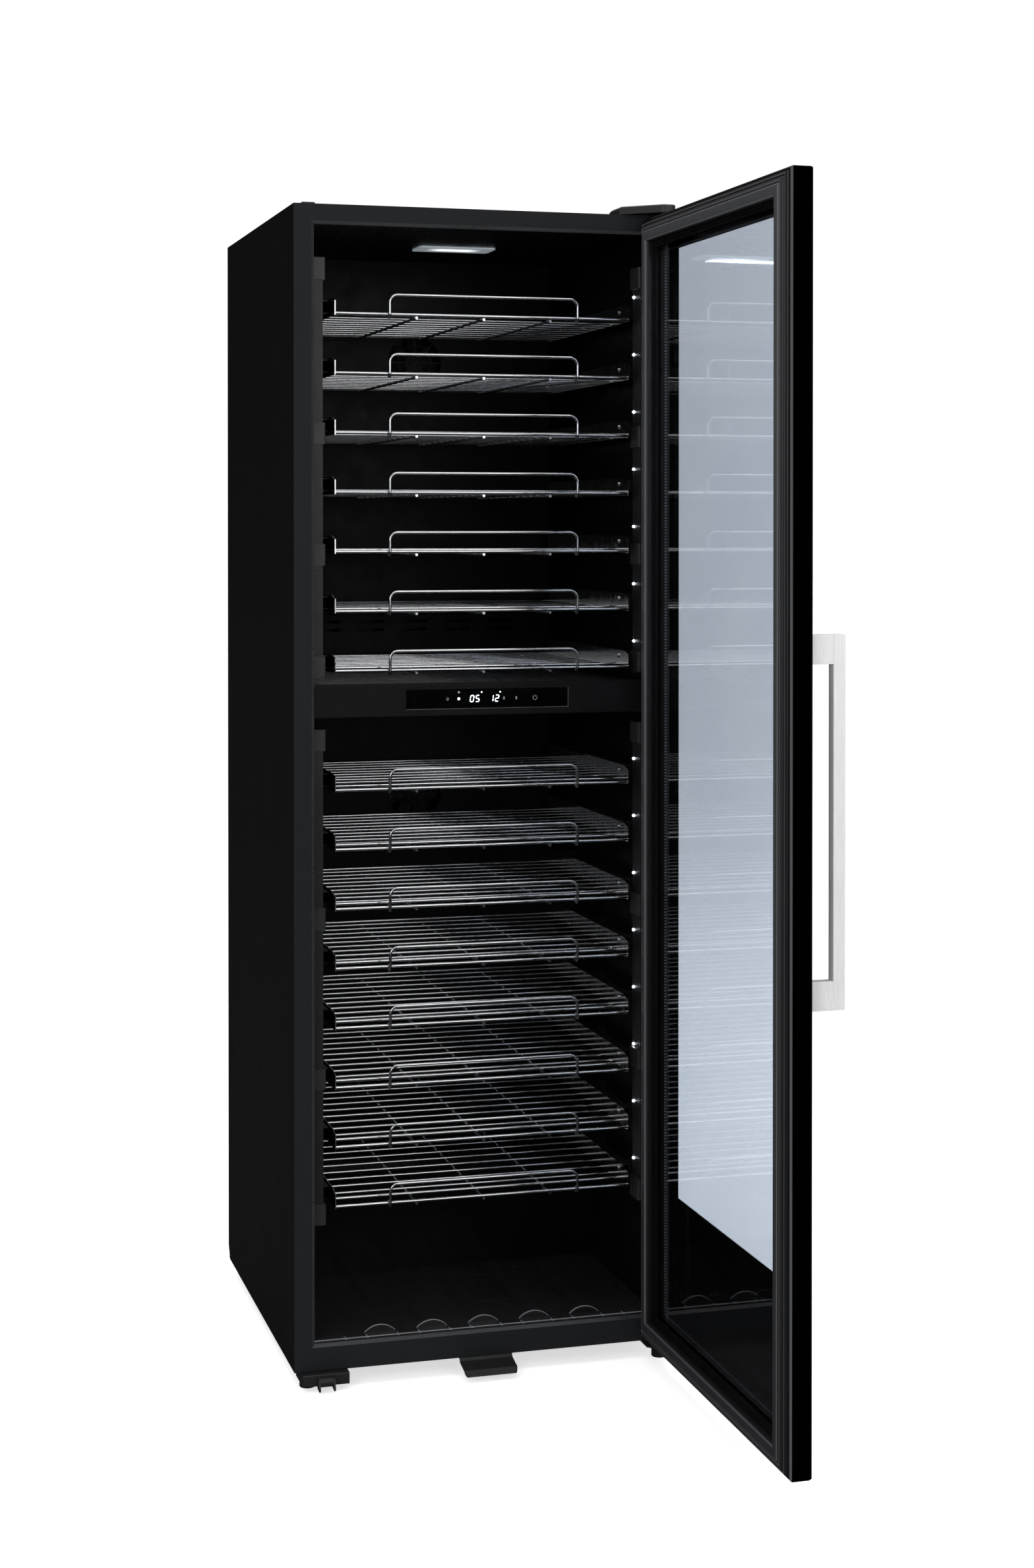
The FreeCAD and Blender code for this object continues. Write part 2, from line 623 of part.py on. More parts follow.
def condenser():
    """Serpentine tube with upright wires, clipped to the back panel."""
    y = BACK - 17.0
    radius = 2.4
    pitch = 70.0
    runs = 21
    z0 = 250.0
    x = 215.0
    edges = []
    for i in range(runs):
        direction = 1 if i % 2 == 0 else -1
        z = z0 + i * pitch
        edges.append(line((-direction * x, y, z), (direction * x, y, z)))
        if i < runs - 1:
            half = pitch / 2
            edges.append(arc((direction * x, y, z), (direction * (x + half), y, z + half),
                             (direction * x, y, z + pitch)))
    tube = bent_wire(edges, radius)
    wires = [cyl(0.9, (runs - 1) * pitch + 40, (wx, y - radius - 0.9, z0 - 20), (0, 0, 1))
             for wx in range(-200, 201, 40)]
    clips = []
    for side in SIDES:
        for z in (z0 + 2.5 * pitch, z0 + 17.5 * pitch):
            clips.append(box(side * 190 - 6, side * 190 + 6, depth(FOAM_BACK_D) + SHEET, y - radius - 1.8,
                             z - 8, z + 8))
    return [tube] + wires + clips


def rear_grille():
    x = HALF - SHEET - 0.5
    plate = box(-x, x, BACK - 4.0, BACK - 2.5, FOOT_H + 26, 204.0)
    slots = [box(sx - 2, sx + 2, BACK - 6, BACK - 1, z, z + 34) for sx in range(-260, 261, 13)
             for z in (66.0, 112.0, 158.0)]
    hole = box(-262, -218, BACK - 6, BACK - 1, 60, 92)
    plate = plate.cut(Part.makeCompound(slots))
    patch = box(-272, -208, BACK - 4.0, BACK - 2.5, 55, 108)
    return plate.fuse(patch).removeSplitter().cut(hole)


def power_inlet():
    body = box(-261.5, -218.5, BACK - 30, BACK - 1.0, 60.5, 91.5)
    flange = box(-266, -214, BACK - 2.5, BACK - 1.0, 57, 95)
    cavity = box(-252, -228, BACK - 18, BACK, 68, 84)
    pins = [box(px - 1, px + 1, BACK - 19, BACK - 8, pz - 2.5, pz + 2.5)
            for px, pz in ((-247, 74), (-240, 78), (-233, 74))]
    return fuse([fuse([body, flange]).cut(cavity)] + pins)


save("compressor", compressor())
save("drip_tray", drip_tray())
save("condenser", *condenser())
save("rear_grille", rear_grille())
save("power_inlet", power_inlet())

# ---- hinges, feet and underside --------------------------------------------------
BRACKET_T = 3.0
BRACKET_X0, BRACKET_X1 = 245.0, 281.5
BRACKET_REACH = 9.0
PIN_ENGAGE = 16.0
WASHER_R = 6.0
door_top = DOOR_BOTTOM + DOOR_H


def bracket_plate(z0):
    front = PIN_Y - BRACKET_REACH
    outline = [(BRACKET_X0, front + 21), (BRACKET_X0 + 19, front), (BRACKET_X1 - 6, front),
               (BRACKET_X1, front + 6), (BRACKET_X1, depth(43)), (BRACKET_X0, depth(43))]
    return prism_z(outline, z0, z0 + BRACKET_T)


def top_bracket():
    plate = bracket_plate(HEIGHT)
    pin = cyl(PIN_R, HEIGHT - door_top + PIN_ENGAGE, (PIN_X, PIN_Y, door_top - PIN_ENGAGE), (0, 0, 1))
    washer = cyl(WASHER_R, HEIGHT - door_top - 0.3, (PIN_X, PIN_Y, door_top + 0.3), (0, 0, 1))
    screws = [cyl(4.0, 2.0, (x, depth(d), HEIGHT + BRACKET_T), (0, 0, 1))
              for x, d in ((251, 14), (275, 14), (263, 32))]
    return fuse([plate, pin, washer] + screws)


def bottom_bracket():
    z0 = FOOT_H - BRACKET_T
    plate = bracket_plate(z0)
    pin = cyl(PIN_R, DOOR_BOTTOM + PIN_ENGAGE - z0, (PIN_X, PIN_Y, z0), (0, 0, 1))
    washer = cyl(WASHER_R, DOOR_BOTTOM - 0.3 - z0, (PIN_X, PIN_Y, z0), (0, 0, 1))
    body = fuse([plate, pin, washer])
    return body.cut(cyl(STEM_R + STEM_CLEAR, 20, (foot_x, hinge_foot_y, z0 - 5), (0, 0, 1)))


save("hinge_brackets", top_bracket(), bottom_bracket())

COVER_H = 12.0
COVER_WALL = 2.0
COVER_CORNER = 8.0
COVER_X0, COVER_X1 = 208.0, 284.0
COVER_REACH = 48.0        # front face of the cabinet to the front of the cover


def cover_block(inset, z0, z1):
    """Plan of the hinge cover moved inwards, with its two front corners rounded."""
    plan = polygon([(COVER_X0, depth(1), z0), (COVER_X1 - 21, depth(-COVER_REACH), z0),
                    (COVER_X1, depth(-COVER_REACH), z0), (COVER_X1, depth(50), z0), (COVER_X0, depth(50), z0)])
    if inset:
        plan = plan.makeOffset2D(-inset)
    block = plan.extrude(V(0, 0, z1 - z0))
    return rounded(block, COVER_CORNER - inset, lambda e: is_along(e, (0, 0, 1)) and e.CenterOfMass.y < depth(-30))


def hinge_cover():
    top = HEIGHT + COVER_H
    shell = cover_block(0.0, HEIGHT, top)
    shell = shell.makeChamfer(1.5, [e for e in shell.Edges if abs(e.CenterOfMass.z - top) < 0.01])
    end_cut = [(COVER_X0 - 1, top - 5), (COVER_X0 + 5, top + 1), (COVER_X0 - 1, top + 1)]
    shell = shell.cut(prism_y(end_cut, FRONT - 60, FRONT + 60))
    return shell.cut(cover_block(COVER_WALL, HEIGHT - 1, top - COVER_WALL))


def hole_plug():
    plug = box(-284, -264, depth(6), depth(20), HEIGHT, HEIGHT + 3)
    return plug.makeFillet(1.4, [e for e in plug.Edges if e.CenterOfMass.z > HEIGHT + 0.1])


def spare_hinge_seat():
    """Block at the lower left that takes the hinge when the door is changed over."""
    front, rear = depth(-13), depth(45)
    z0, z1 = 8.5, 26.0
    block = box(-287, -217, front, rear, z0, z1)
    block = rounded(block, 2.0, lambda e: is_along(e, (1, 0, 0)) and e.CenterOfMass.y < front + 1)
    mount = box(-283, -221, depth(3), rear, z1, FOOT_H)
    barrel = cyl(7.0, 20.0, (-263, front - 3, 15.5), (1, 0, 0))
    fin = [(front + 1, 6.0), (front - 13, 4.0), (front - 15, 8.0), (front - 9, 21.0), (front + 1, 24.5)]
    fins = [prism_x(fin, x, x + 2.5) for x in (-265.5, -243.0)]
    body = fuse([block, mount, barrel] + fins)
    return body.cut(cyl(STEM_R + STEM_CLEAR, 30, (-foot_x, foot_y, 0), (0, 0, 1)))


save("top_caps", hinge_cover(), hole_plug())
save("spare_hinge_seat", spare_hinge_seat())


def support_ramp():
    """Curved lip under the bottom rail that carries the closing door."""
    section = [(42, 27.0), (-1.5, 27.0), (-3.0, 22.5), (-30, 17.0), (-37, 12.0), (-38.5, 9.5), (-36.5, 8.6),
               (-34.0, 10.6), (-28, 15.0), (-1.5, 20.3), (0.5, 25.0), (42, 25.0)]
    ramp = prism_x([(depth(d), z) for d, z in section], -45.0, 37.0)
    plan = box(-45.0, 37.0, depth(-38.6), depth(42), 5.0, 30.0)
    plan = rounded(plan, 9.0, lambda e: is_along(e, (0, 0, 1)) and e.CenterOfMass.y < FRONT)
    return ramp.common(plan)


save("door_support_ramp", support_ramp())


def front_foot(x, y, height):
    """Threaded foot: a round pad of the given height on its stem."""
    disc = cyl(12.0, height, (x, y, 0), (0, 0, 1))
    disc = disc.makeChamfer(1.0, [e for e in disc.Edges if isinstance(e.Curve, Part.Circle)])
    stem = cyl(STEM_R, FOOT_H - height - 0.3, (x, y, height), (0, 0, 1))
    return disc.fuse(stem).removeSplitter()


save("foot_left", front_foot(-foot_x, foot_y, 8.0))
save("foot_right", front_foot(foot_x, hinge_foot_y, 16.0))

ROLLER_R, ROLLER_W = 12.0, 12.0
ROLLER_X, ROLLER_Y = 258.0, BACK - 30.0
AXLE_R = 2.5


def roller(side):
    wheel = cyl(ROLLER_R, ROLLER_W, (side * ROLLER_X - ROLLER_W / 2, ROLLER_Y, ROLLER_R), (1, 0, 0))
    wheel = wheel.makeChamfer(1.0, [e for e in wheel.Edges if isinstance(e.Curve, Part.Circle)])
    bore_start = (side * ROLLER_X - ROLLER_W / 2 - 1, ROLLER_Y, ROLLER_R)
    return wheel.cut(cyl(AXLE_R + 0.05, ROLLER_W + 2, bore_start, (1, 0, 0)))


def roller_bracket(side):
    x0, x1 = side * ROLLER_X - 9, side * ROLLER_X + 9
    cheeks = [prism_x([(ROLLER_Y - 9, FOOT_H), (ROLLER_Y - 6, ROLLER_R - 5), (ROLLER_Y + 6, ROLLER_R - 5),
                       (ROLLER_Y + 9, FOOT_H)], x, x + 2) for x in (x0, x1 - 2)]
    bridge = box(x0, x1, ROLLER_Y - 9, ROLLER_Y + 9, FOOT_H - 1.5, FOOT_H)
    axle = cyl(AXLE_R, 18.0, (x0, ROLLER_Y, ROLLER_R), (1, 0, 0))
    return fuse(cheeks + [bridge, axle])


save("rear_roller_left", roller(-1))
save("rear_roller_right", roller(1))
save("roller_brackets", roller_bracket(-1), roller_bracket(1))

# ---- door, modelled closed and then swung open -------------------------------------
leaf_back = FRONT - DOOR_GAP
leaf_front = leaf_back - DOOR_T
glass_back = leaf_front + GLASS_T
REBATE_U = 36.0
PANE_T = 4.0
pane_y0 = leaf_back - 12.0
BUSH_R = 3.8
BUSH_CLEAR = 0.05
SPACER_U0, SPACER_U1 = 39.0, 52.0


def bush_hole(radius, extra):
    lower = cyl(radius, PIN_ENGAGE + 2 + extra, (PIN_X, PIN_Y, DOOR_BOTTOM - extra), (0, 0, 1))
    upper = cyl(radius, PIN_ENGAGE + 2 + extra, (PIN_X, PIN_Y, door_top - PIN_ENGAGE - 2), (0, 0, 1))
    return lower, upper


def door_frame():
    lip = DOOR_FRAME_W
    profile = [(0, glass_back), (0, leaf_back - 2.5), (2.5, leaf_back), (38.5, leaf_back),
               (38.5, leaf_back - 1.6), (42.0, leaf_back - 1.6), (42.0, leaf_back - 3.6), (lip, leaf_back - 3.6),
               (lip, pane_y0 + PANE_T), (REBATE_U, pane_y0 + PANE_T), (REBATE_U, glass_back)]
    bars = ring_bars(profile, -HALF, HALF, DOOR_BOTTOM, door_top)
    holes = bush_hole(BUSH_R, 1.0)
    return [bar.cut(holes[0]).cut(holes[1]) for bar in bars]


def hinge_bushes():
    outer = bush_hole(BUSH_R, 0.0)
    inner = bush_hole(PIN_R + BUSH_CLEAR, 1.0)
    return [outer[0].cut(inner[0]), outer[1].cut(inner[1])]


def outer_glass():
    glass = box(-HALF, HALF, leaf_front, glass_back, DOOR_BOTTOM, door_top)
    glass = rounded(glass, 3.0, lambda e: is_along(e, (0, 1, 0)))
    rim = [e for e in glass.Edges if abs(e.CenterOfMass.y - leaf_front) < 0.01]
    return glass.makeChamfer(0.7, rim)


def inner_glass():
    u = REBATE_U + 0.5
    return box(-HALF + u, HALF - u, pane_y0, pane_y0 + PANE_T, DOOR_BOTTOM + u, door_top - u)


def spacer():
    u0, u1 = SPACER_U0, SPACER_U1
    profile = [(u0, glass_back), (u0, pane_y0), (u1, pane_y0), (u1, glass_back)]
    return ring_bars(profile, -HALF, HALF, DOOR_BOTTOM, door_top)


def gasket():
    points = [(6, 0), (6, 3.4), (9, 5.4), (10.5, 4.2), (12, 4.6), (13.5, 7.6), (17, 9.2), (18.5, 7.8),
              (20, 8.4), (21.5, 10.6), (25, 11.3), (31, 11.4), (35, 10.6), (37, 5), (37, 0)]
    profile = [(u, leaf_back + h) for u, h in points]
    return ring_bars(profile, -HALF, HALF, DOOR_BOTTOM, door_top)


HANDLE_SIZE = 17.0
HANDLE_REACH = 54.0
HANDLE_SETBACK = 18.0
HANDLE_Z0, HANDLE_Z1 = 643.0, 1139.5
POST_H = 39.0


def handle_bar():
    x0 = -HALF + HANDLE_SETBACK
    bar = box(x0, x0 + HANDLE_SIZE, leaf_front - HANDLE_REACH, leaf_front - HANDLE_REACH + HANDLE_SIZE,
              HANDLE_Z0, HANDLE_Z1)
    front = leaf_front - HANDLE_REACH
    bar = rounded(bar, 2.0, lambda e: is_along(e, (1, 0, 0)) and e.CenterOfMass.y < front + 1)
    return bar.makeChamfer(0.5, [e for e in bar.Edges if is_along(e, (0, 0, 1))])


def handle_posts():
    x0 = -HALF + HANDLE_SETBACK
    y0 = leaf_front - HANDLE_REACH + HANDLE_SIZE
    posts = []
    for z0 in (HANDLE_Z0, HANDLE_Z1 - POST_H):
        post = box(x0, x0 + HANDLE_SIZE, y0, leaf_front, z0, z0 + POST_H)
        posts.append(post.makeChamfer(0.5, post.Edges))
    return posts


save("door_frame", *[swing(bar) for bar in door_frame()])
save("hinge_bushes", *[swing(bush) for bush in hinge_bushes()])
save("door_outer_glass", swing(outer_glass()))
save("door_inner_glass", swing(inner_glass()))
save("glass_spacer", *[swing(bar) for bar in spacer()])
save("door_gasket", *[swing(bar) for bar in gasket()])
save("door_handle", swing(handle_bar()), *[swing(post) for post in handle_posts()])
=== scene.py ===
"""Looks for the two-zone wine cooler: materials, small display pieces, camera and light."""

import math

import bmesh
import bpy
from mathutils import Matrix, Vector


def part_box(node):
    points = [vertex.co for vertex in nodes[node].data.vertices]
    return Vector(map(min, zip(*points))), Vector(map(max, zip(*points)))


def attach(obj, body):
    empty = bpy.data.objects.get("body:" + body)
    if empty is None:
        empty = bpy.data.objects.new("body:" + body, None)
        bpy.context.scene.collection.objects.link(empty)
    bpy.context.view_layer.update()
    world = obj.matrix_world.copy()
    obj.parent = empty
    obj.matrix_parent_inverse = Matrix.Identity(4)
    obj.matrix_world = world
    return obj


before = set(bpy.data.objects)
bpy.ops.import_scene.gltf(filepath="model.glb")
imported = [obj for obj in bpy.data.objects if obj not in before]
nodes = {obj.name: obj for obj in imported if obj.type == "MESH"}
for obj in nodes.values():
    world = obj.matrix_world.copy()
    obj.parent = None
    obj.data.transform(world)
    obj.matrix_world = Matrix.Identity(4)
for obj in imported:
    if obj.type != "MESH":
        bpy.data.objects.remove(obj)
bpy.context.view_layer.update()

# ---- places in the row frame, in metres ---------------------------------------
MID_X, MID_Y = 0.2745, 0.286   # middle of the cabinet; the origin is under the left front foot
FRONT_Y = -0.019               # plane of the front face
FASCIA_Y = FRONT_Y + 0.003     # the fascia's face, a little behind it
WINDOW_LOW, WINDOW_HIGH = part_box("control_window")
PANE_LOW, PANE_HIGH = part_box("door_outer_glass")
LEAF_MID_Y = (PANE_LOW.y + PANE_HIGH.y) / 2


# ---- node helpers ---------------------------------------------------------------
class Look:
    """A Principled material with a few shortcuts for its nodes."""

    def __init__(self, name, **sockets):
        self.material = bpy.data.materials.new(name)
        self.material.use_nodes = True
        self.tree = self.material.node_tree
        self.shader = self.tree.nodes["Principled BSDF"]
        self.coords = self.tree.nodes.new("ShaderNodeTexCoord").outputs["Object"]
        self.xyz = self.tree.nodes.new("ShaderNodeSeparateXYZ").outputs
        self.tree.links.new(self.coords, self.xyz[0].node.inputs[0])
        for key, value in sockets.items():
            self.set(key.replace("_", " "), value)

    def set(self, socket, value):
        """Give a shader socket a number, a colour or the output of a node."""
        target = self.shader.inputs[socket]
        if isinstance(value, bpy.types.NodeSocket):
            self.tree.links.new(value, target)
        elif isinstance(value, tuple):
            target.default_value = (*value, 1.0)
        else:
            target.default_value = value

    def source(self, socket="Base Color"):
        """The output that feeds a shader socket now."""
        return self.shader.inputs[socket].links[0].from_socket

    def plug(self, target, value):
        """Link a socket to an output, or give it a number or colour."""
        if isinstance(value, bpy.types.NodeSocket):
            self.tree.links.new(value, target)
        elif value is not None:
            target.default_value = value

    def math(self, operation, a, b=None, clamp=False):
        node = self.tree.nodes.new("ShaderNodeMath")
        node.operation = operation
        node.use_clamp = clamp
        self.plug(node.inputs[0], a)
        self.plug(node.inputs[1], b)
        return node.outputs[0]

    def stretched(self, x, y, z):
        """Object coordinates multiplied by a factor for each axis."""
        node = self.tree.nodes.new("ShaderNodeMapping")
        node.inputs["Scale"].default_value = (x, y, z)
        self.tree.links.new(self.coords, node.inputs["Vector"])
        return node.outputs[0]

    def texture(self, kind, scale, stretch=None):
        node = self.tree.nodes.new(kind)
        node.inputs["Scale"].default_value = scale
        place = self.stretched(*stretch) if stretch else self.coords
        self.tree.links.new(place, node.inputs["Vector"])
        return node

    def noise(self, scale, detail=3.0, roughness=0.55, stretch=None):
        node = self.texture("ShaderNodeTexNoise", scale, stretch)
        node.inputs["Detail"].default_value = detail
        node.inputs["Roughness"].default_value = roughness
        return node.outputs["Fac"]

    def cells(self, scale):
        return self.texture("ShaderNodeTexVoronoi", scale).outputs["Distance"]

    def span(self, value, low, high, to_low=0.0, to_high=1.0):
        node = self.tree.nodes.new("ShaderNodeMapRange")
        self.plug(node.inputs["Value"], value)
        node.inputs["From Min"].default_value = low
        node.inputs["From Max"].default_value = high
        node.inputs["To Min"].default_value = to_low
        node.inputs["To Max"].default_value = to_high
        return node.outputs[0]

    def spread(self, noise, to_low=0.0, to_high=1.0):
        """The middle of a noise's range, spread from to_low to to_high."""
        return self.span(noise, 0.3, 0.7, to_low, to_high)

    def blend(self, factor, a, b):
        """Colour a where factor is 0, colour b where it is 1."""
        node = self.tree.nodes.new("ShaderNodeMix")
        node.data_type = "RGBA"
        self.plug(node.inputs["Factor"], factor)
        for socket, value in ((node.inputs[6], a), (node.inputs[7], b)):
            self.plug(socket, (*value, 1.0) if isinstance(value, tuple) else value)
        return node.outputs[2]

    def minus(self, a, b):
        return self.math("SUBTRACT", a, b)

    def both(self, a, b):
        return self.math("MULTIPLY", a, b)

    def apart(self, a, b):
        """The distance between two values."""
        return self.math("ABSOLUTE", self.minus(a, b))

    def within_value(self, value, middle, half, soft=0.0001):
        """1 where the value is within half of middle, 0 elsewhere."""
        return self.span(self.apart(value, middle), half - soft, half + soft, 1.0, 0.0)

    def within(self, axis, middle, half, soft):
        return self.within_value(self.xyz[axis], middle, half, soft)

    def bump(self, height, distance, strength=1.0):
        node = self.tree.nodes.new("ShaderNodeBump")
        node.inputs["Distance"].default_value = distance
        node.inputs["Strength"].default_value = strength
        self.tree.links.new(height, node.inputs["Height"])
        self.tree.links.new(node.outputs[0], self.shader.inputs["Normal"])


def shade(colour, factor):
    return tuple(c * factor for c in colour)


def moulded(name, colour, rough=0.42, grain=2200.0, depth=0.00003, specular=0.35, coat=0.0):
    """Moulded plastic: fine leather-like grain, slight cloudiness and uneven gloss."""
    look = Look(name, Specular_IOR_Level=specular, Coat_Weight=coat)
    cloud = look.noise(9.0, 4.0)
    tone = look.blend(look.spread(cloud), shade(colour, 0.82), shade(colour, 1.2))
    look.set("Base Color", tone)
    smear = look.noise(40.0, 3.0)
    look.set("Roughness", look.span(smear, 0.25, 0.75, rough - 0.06, rough + 0.07))
    look.bump(look.cells(grain), depth, 0.5)
    return look


def painted(name, colour, rough=0.36, specular=0.4, uneven=0.05):
    """Powder-coated sheet: orange peel, fine flecks and slow changes of gloss."""
    look = Look(name, Specular_IOR_Level=specular)
    fleck = look.noise(2600.0, 2.0)
    tone = look.blend(look.span(fleck, 0.45, 0.7), shade(colour, 0.85), shade(colour, 1.35))
    look.set("Base Color", tone)
    look.set("Roughness", look.spread(look.noise(18.0, 4.0), rough - uneven, rough + uneven))
    look.bump(look.noise(900.0, 2.0), 0.00004, 0.35)
    return look


def bare_metal(name, colour, rough=0.3, stretch=(1.0, 1.0, 1.0), grain=600.0, depth=0.00002):
    """Metal with drawn or brushed grain along the axis that is stretched least."""
    look = Look(name, Metallic=1.0)
    lines = look.noise(grain, 4.0, 0.6, stretch)
    tone = look.blend(look.spread(lines), shade(colour, 0.88), shade(colour, 1.06))
    look.set("Base Color", tone)
    smear = look.noise(grain / 3, 3.0, 0.5, stretch)
    look.set("Roughness", look.spread(smear, rough - 0.07, rough + 0.08))
    look.bump(lines, depth, 0.4)
    return look


# ---- materials --------------------------------------------------------------------
def side_sheet():
    """Black side panels, whose folded front edge gets the front's lighter grey: a lit copy of the
    same black paint, painted light.
    """
    look = painted("side_sheet", (0.0040, 0.0040, 0.0043), 0.36, 0.05, 0.012)
    front = look.span(look.xyz[1], FRONT_Y + 0.0010, FRONT_Y + 0.0014, 1.0, 0.0)
    grain = look.span(look.noise(2400.0, 2.0), 0.4, 0.75)
    # Painted light: the lighter grey of the front is a lit copy of this black paint.
    satin_and_lit_grey = look.blend(grain, (0.0105, 0.0112, 0.0128), (0.0175, 0.0185, 0.0208))
    look.set("Base Color", look.blend(front, look.source(), satin_and_lit_grey))
    return look


CHROME_END = (0.2316, 0.2318)    # distance from the middle where runners take over from wire


def shelf_metal():
    """Chromed wire; the sliding runners on both sides are black plastic."""
    look = bare_metal("shelf_chrome", (0.62, 0.625, 0.635), 0.13, grain=300.0, depth=0.000004)
    gloss = look.source("Roughness")
    metal = look.span(look.apart(look.xyz[0], MID_X), *CHROME_END, 1.0, 0.0)
    look.set("Base Color", look.blend(metal, (0.012, 0.012, 0.013), look.source()))
    look.set("Metallic", metal)
    runner = look.both(look.minus(1.0, metal), 0.3)
    look.set("Roughness", look.math("ADD", gloss, runner))
    return look


def lamp_lens():
    """Clear ribbed lens with the bright strip of the light source behind its middle."""
    look = Look("lamp_lens", Roughness=0.25, Specular_IOR_Level=0.5)
    low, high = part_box("ceiling_lamps")
    middle = (low + high) / 2
    ribs = look.math("SINE", look.both(look.xyz[0], 2400.0))
    core = look.both(look.within(0, middle.x, 0.034, 0.012),
                     look.within(1, middle.y, 0.014, 0.010))
    glow = look.blend(core, (0.20, 0.23, 0.25), (0.93, 0.97, 1.0))
    # Painted highlight: the rib crests are lighter in the lens colour.
    crest_highlight = look.span(ribs, -1.0, 1.0, 0.0, 0.3)
    look.set("Base Color", look.blend(crest_highlight, (0.42, 0.47, 0.5), (0.62, 0.68, 0.72)))
    look.set("Emission Color", glow)
    look.set("Emission Strength", look.span(core, 0.0, 1.0, 0.7, 1.5))
    look.bump(ribs, 0.0002, 0.3)
    return look


def led_lens():
    """Small bright lens, lit a little unevenly."""
    look = Look("led_lens", Roughness=0.1, Specular_IOR_Level=0.5)
    hot = look.span(look.noise(700.0, 2.0), 0.2, 0.8)
    look.set("Base Color", look.blend(hot, (0.75, 0.82, 0.95), (0.95, 0.97, 1.0)))
    look.set("Emission Color", look.blend(hot, (0.78, 0.88, 1.0), (0.95, 0.98, 1.0)))
    look.set("Emission Strength", look.span(hot, 0.0, 1.0, 16.0, 24.0))
    return look


CLEAR_SIDE = 0.087            # width of the printed border at the sides of the door glass
CLEAR_Z = (0.270, 1.712)      # lowest and highest point of its clear part


def outer_glass():
    """Tinted door glass with its printed black border."""
    look = Look("outer_glass", IOR=1.45, Specular_IOR_Level=0.5)
    half = (PANE_HIGH.y - PANE_LOW.y) / 2 - CLEAR_SIDE
    across = look.within(1, LEAF_MID_Y, half, 0.0003)
    along = look.within(2, sum(CLEAR_Z) / 2, (CLEAR_Z[1] - CLEAR_Z[0]) / 2, 0.0003)
    clear = look.both(across, along)
    cloud = look.spread(look.noise(3.0, 2.0))
    tint = look.blend(cloud, (0.70, 0.765, 0.865), (0.74, 0.80, 0.89))
    look.set("Base Color", look.blend(clear, (0.0012, 0.0012, 0.0014), tint))
    look.set("Transmission Weight", clear)
    inside = look.span(look.xyz[1], PANE_LOW.y + 0.0009, PANE_LOW.y + 0.0012)
    look.set("Specular IOR Level", look.both(inside, look.span(clear, 0.0, 1.0, 0.12, 0.5)))
    look.set("Roughness", look.spread(look.noise(25.0, 3.0), 0.015, 0.035))
    return look


def inner_glass():
    """Nearly colourless pane with a faint smear."""
    look = Look("inner_glass", IOR=1.45, Specular_IOR_Level=0.5)
    cloud = look.spread(look.noise(3.0, 2.0))
    look.set("Base Color", look.blend(cloud, (0.90, 0.93, 0.965), (0.93, 0.955, 0.98)))
    look.set("Transmission Weight", 1.0)
    look.set("Roughness", look.spread(look.noise(20.0, 3.0), 0.0, 0.012))
    return look


HOLE_PITCH = 0.0046
SPACER_WIDTH = (0.0130, 0.0135)    # soft edge between its upright and level sides


def spacer():
    """Dark anodised spacer with a row of small bright holes for the drying agent."""
    look = Look("spacer", Metallic=0.5, Specular_IOR_Level=0.3)
    low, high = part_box("glass_spacer")
    half = (high.y - low.y) / 2
    upright = look.span(look.apart(look.xyz[1], LEAF_MID_Y),
                        half - SPACER_WIDTH[1], half - SPACER_WIDTH[0])
    dots = []
    for axis in (1, 2):
        turn = look.math("FRACT", look.math("DIVIDE", look.xyz[axis], HOLE_PITCH))
        dots.append(look.span(look.apart(turn, 0.5), 0.20, 0.26, 1.0, 0.0))
    row = look.within(0, (low.x + high.x) / 2, 0.0015, 0.0004)
    level, standing = dots
    along = look.math("ADD", look.both(standing, upright),
                      look.both(level, look.minus(1.0, upright)))
    holes = look.both(along, row)
    tone = look.blend(look.spread(look.noise(300.0)),
                      (0.0075, 0.008, 0.0095), (0.012, 0.0125, 0.0145))
    look.set("Base Color", look.blend(holes, tone, (0.34, 0.37, 0.42)))
    look.set("Roughness", look.spread(look.noise(90.0), 0.3, 0.45))
    look.bump(holes, 0.0003, 0.6)
    return look


GASKET_RIB_HIGHLIGHTS = (0.0032, 0.0112, 0.0158, 0.0292)    # distances in from the outline of the painted highlight lines on the ribs


